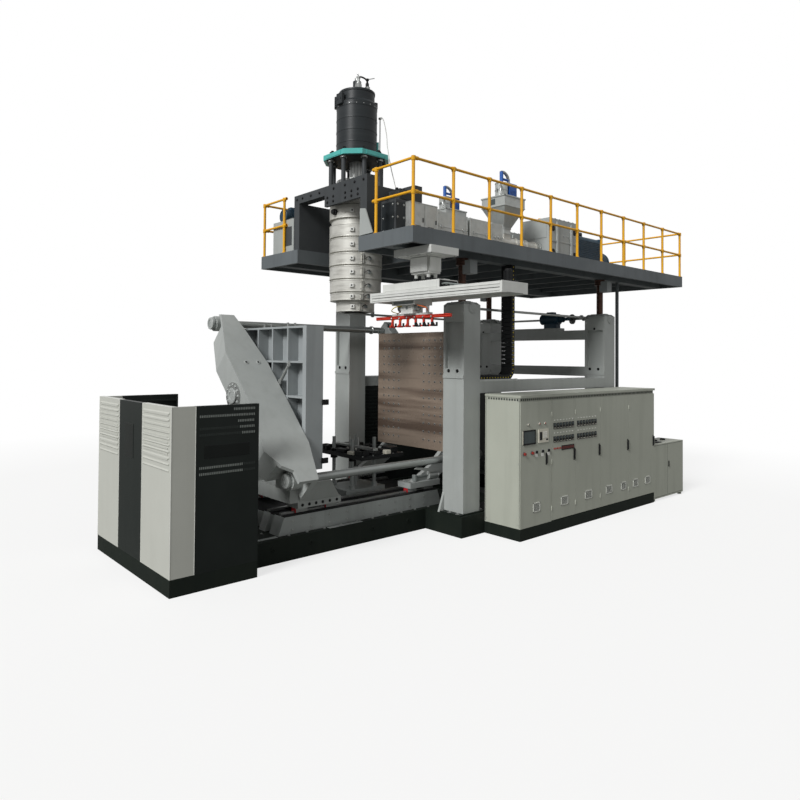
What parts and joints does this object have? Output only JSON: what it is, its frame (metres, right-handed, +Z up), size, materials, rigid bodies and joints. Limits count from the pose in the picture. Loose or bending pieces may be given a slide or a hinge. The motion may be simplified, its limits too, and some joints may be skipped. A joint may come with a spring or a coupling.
{
  "type": "blow moulding machine",
  "caption": "Accumulator-head blow moulding machine with a raised extruder platform, a sliding clamp on a railed bed, a take-out robot and a control cabinet.",
  "frame": {"origin": "on the floor straight below the die axis", "axes": "+X along the clamping stroke towards the drive end, +Y away from the operator's cabinet, +Z up"},
  "size_m": [11.728, 5.434, 7.67],
  "materials": {
    "frame_grey": "satin",
    "base_black": "satin",
    "machined_steel": "satin",
    "rail_steel": "polished",
    "cover_black": "matt",
    "panel_light": "satin",
    "panel_black": "gloss",
    "column_grey": "satin",
    "beam_grey": "satin",
    "gearbox_grey": "painted",
    "shaft_steel": "satin",
    "motor_blue": "satin",
    "fascia_grey": "satin",
    "rail_yellow": "satin",
    "screw_steel": "oiled",
    "head_steel": "satin",
    "head_charcoal": "satin",
    "teal_paint": "gloss",
    "cylinder_black": "gloss",
    "core_steel": "polished",
    "barrel_steel": "satin",
    "cover_steel": "satin",
    "hopper_steel": "satin",
    "loader_blue": "gloss",
    "gearbox_paint": "satin",
    "drive_blue": "satin",
    "tank_light": "satin",
    "robot_grey": "satin",
    "robot_white": "gloss",
    "claw_red": "gloss",
    "chain_black": "matt",
    "yoke_grey": "satin",
    "chrome_bar": "polished",
    "platen_brown": "semi-gloss",
    "platen_grey": "satin",
    "blow_black": "satin",
    "cabinet_grey": "satin",
    "instrument_dark": "matt",
    "button_red": "gloss",
    "knob_black": "matt",
    "aux_grey": "satin"
  },
  "bodies": {
    "base": {"floor_plinths": "base_black", "rail_frame": "frame_grey", "guide_rails": "rail_steel", "way_covers": "cover_black", "guard_corner_panels": "panel_light", "dark_panels": "panel_black", "front_columns": "column_grey", "rear_columns": "column_grey", "portal_beams": "beam_grey", "lift_gearboxes": "gearbox_grey", "lift_motor": "motor_blue", "blow_unit_base": "frame_grey", "cabinet_body": "cabinet_grey", "panel_instruments": "instrument_dark", "aux_cabinet": "aux_grey"},
    "platform": {"platform_frame": "fascia_grey", "handrail": "rail_yellow", "lift_screws": "screw_steel", "die_head_body": "head_steel", "head_frame": "head_charcoal", "head_top_plate": "teal_paint", "head_cylinder": "cylinder_black", "extruder_barrels": "barrel_steel", "barrel_covers": "cover_steel", "hoppers": "hopper_steel", "loaders": "loader_blue", "gearboxes": "gearbox_paint", "drive_motors": "drive_blue", "hydraulic_block": "tank_light", "robot_mount": "robot_grey", "cable_chain": "chain_black"},
    "clamp_frame": {"yoke": "yoke_grey", "tie_bars": "chrome_bar", "clamp_cylinder": "machined_steel", "right_platen": "platen_brown"},
    "left_platen": {"left_platen": "platen_grey", "clamp_rod": "chrome_bar"},
    "lift_shaft_near": {"lift_shaft_near": "shaft_steel"},
    "lift_shaft_far": {"lift_shaft_far": "shaft_steel"},
    "lift_shaft_rear": {"lift_shaft_rear": "shaft_steel"},
    "injection_piston": {"injection_piston": "machined_steel"},
    "die_core": {"die_core": "core_steel"},
    "extruder_screw_near": {"extruder_screw_near": "core_steel"},
    "extruder_screw_far": {"extruder_screw_far": "core_steel"},
    "robot_beam": {"robot_beam": "robot_white"},
    "robot_carriage": {"robot_carriage": "robot_grey"},
    "gripper_jaw_near": {"gripper_jaw_near": "claw_red"},
    "gripper_jaw_far": {"gripper_jaw_far": "claw_red"},
    "blow_table": {"blow_table": "blow_black"},
    "spreader_near": {"spreader_near": "machined_steel"},
    "spreader_far": {"spreader_far": "machined_steel"},
    "cabinet_door_1": {"cabinet_door_1": "cabinet_grey"},
    "cabinet_door_2": {"cabinet_door_2": "cabinet_grey"},
    "cabinet_door_3": {"cabinet_door_3": "cabinet_grey"},
    "cabinet_door_4": {"cabinet_door_4": "cabinet_grey"},
    "emergency_stop_left": {"emergency_stop_left": "button_red"},
    "emergency_stop_right": {"emergency_stop_right": "button_red"},
    "selector_knob_1": {"selector_knob_1": "knob_black"},
    "selector_knob_2": {"selector_knob_2": "knob_black"},
    "selector_knob_3": {"selector_knob_3": "knob_black"}
  },
  "joints": [
    {"name": "clamp_frame_slide", "type": "slide", "parent": "base", "child": "clamp_frame", "axis": [1, 0, 0], "range_m": [-0.28, 0]},
    {"name": "left_platen_slide", "type": "slide", "parent": "base", "child": "left_platen", "axis": [1, 0, 0], "range_m": [0, 0.28]},
    {"name": "platform_lift", "type": "slide", "parent": "base", "child": "platform", "axis": [0, 0, 1], "range_m": [-0.1, 0.4], "deforming": ["cable_chain"]},
    {"name": "lift_shaft_near_turn", "type": "hinge", "parent": "base", "child": "lift_shaft_near", "pos_m": [1.2805, -1.315, 3.705], "axis": [1, 0, 0], "range_deg": [-1800.5, 7200.5]},
    {"name": "lift_shaft_far_turn", "type": "hinge", "parent": "base", "child": "lift_shaft_far", "pos_m": [1.2805, 1.315, 3.705], "axis": [1, 0, 0], "range_deg": [-1800.5, 7200.5]},
    {"name": "lift_shaft_rear_turn", "type": "hinge", "parent": "base", "child": "lift_shaft_rear", "pos_m": [5.381, 0, 3.705], "axis": [0, 1, 0], "range_deg": [-1800.5, 7200.5]},
    {"name": "injection_stroke", "type": "slide", "parent": "platform", "child": "injection_piston", "axis": [0, 0, 1], "range_m": [0, 0.33]},
    {"name": "core_slide", "type": "slide", "parent": "platform", "child": "die_core", "axis": [0, 0, 1], "range_m": [0, 0.03]},
    {"name": "extruder_screw_near_turn", "type": "hinge", "parent": "platform", "child": "extruder_screw_near", "pos_m": [0.91, -0.75, 5.1], "axis": [1, 0, 0], "continuous": true},
    {"name": "extruder_screw_far_turn", "type": "hinge", "parent": "platform", "child": "extruder_screw_far", "pos_m": [0.91, 0.75, 5.1], "axis": [1, 0, 0], "continuous": true},
    {"name": "robot_lift", "type": "slide", "parent": "platform", "child": "robot_beam", "axis": [0, 0, 1], "range_m": [-0.2, 0]},
    {"name": "robot_travel", "type": "slide", "parent": "robot_beam", "child": "robot_carriage", "axis": [0, 1, 0], "range_m": [-1.6, 0.4]},
    {"name": "gripper_near_slide", "type": "slide", "parent": "robot_carriage", "child": "gripper_jaw_near", "axis": [0, 1, 0], "range_m": [-0.08, 0]},
    {"name": "gripper_far_slide", "type": "slide", "parent": "robot_carriage", "child": "gripper_jaw_far", "axis": [0, 1, 0], "range_m": [0, 0.08]},
    {"name": "blow_table_lift", "type": "slide", "parent": "base", "child": "blow_table", "axis": [0, 0, 1], "range_m": [-0.15, 0.2]},
    {"name": "spreader_near_slide", "type": "slide", "parent": "blow_table", "child": "spreader_near", "axis": [0, 1, 0], "range_m": [-0.12, 0]},
    {"name": "spreader_far_slide", "type": "slide", "parent": "blow_table", "child": "spreader_far", "axis": [0, 1, 0], "range_m": [0, 0.12]},
    {"name": "cabinet_door_1_hinge", "type": "hinge", "parent": "base", "child": "cabinet_door_1", "pos_m": [2.168, -2.482, 1.185], "axis": [0, 0, 1], "range_deg": [-110, 0]},
    {"name": "cabinet_door_2_hinge", "type": "hinge", "parent": "base", "child": "cabinet_door_2", "pos_m": [2.867, -2.482, 1.185], "axis": [0, 0, 1], "range_deg": [-110, 0]},
    {"name": "cabinet_door_3_hinge", "type": "hinge", "parent": "base", "child": "cabinet_door_3", "pos_m": [3.672, -2.482, 1.185], "axis": [0, 0, 1], "range_deg": [-110, 0]},
    {"name": "cabinet_door_4_hinge", "type": "hinge", "parent": "base", "child": "cabinet_door_4", "pos_m": [4.689, -2.482, 1.185], "axis": [0, 0, 1], "range_deg": [-110, 0]},
    {"name": "emergency_stop_left_press", "type": "slide", "parent": "base", "child": "emergency_stop_left", "axis": [0, 1, 0], "range_m": [0, 0.006], "stiffness_N_per_m": 1500},
    {"name": "emergency_stop_right_press", "type": "slide", "parent": "base", "child": "emergency_stop_right", "axis": [0, 1, 0], "range_m": [0, 0.006], "stiffness_N_per_m": 1500},
    {"name": "selector_knob_1_turn", "type": "hinge", "parent": "base", "child": "selector_knob_1", "pos_m": [1.74, -2.482, 1.359], "axis": [0, 1, 0], "range_deg": [-45, 45]},
    {"name": "selector_knob_2_turn", "type": "hinge", "parent": "base", "child": "selector_knob_2", "pos_m": [1.907, -2.482, 1.359], "axis": [0, 1, 0], "range_deg": [-45, 45]},
    {"name": "selector_knob_3_turn", "type": "hinge", "parent": "base", "child": "selector_knob_3", "pos_m": [2.074, -2.482, 1.359], "axis": [0, 1, 0], "range_deg": [-45, 45]}
  ],
  "couplings": [
    {"joint": "left_platen_slide", "follows": "clamp_frame_slide", "ratio": -1},
    {"joint": "lift_shaft_near_turn", "follows": "platform_lift", "rad_per_m": 314.16},
    {"joint": "lift_shaft_far_turn", "follows": "platform_lift", "rad_per_m": 314.16},
    {"joint": "lift_shaft_rear_turn", "follows": "platform_lift", "rad_per_m": 314.16},
    {"joint": "gripper_far_slide", "follows": "gripper_near_slide", "ratio": -1},
    {"joint": "spreader_far_slide", "follows": "spreader_near_slide", "ratio": -1}
  ]
}
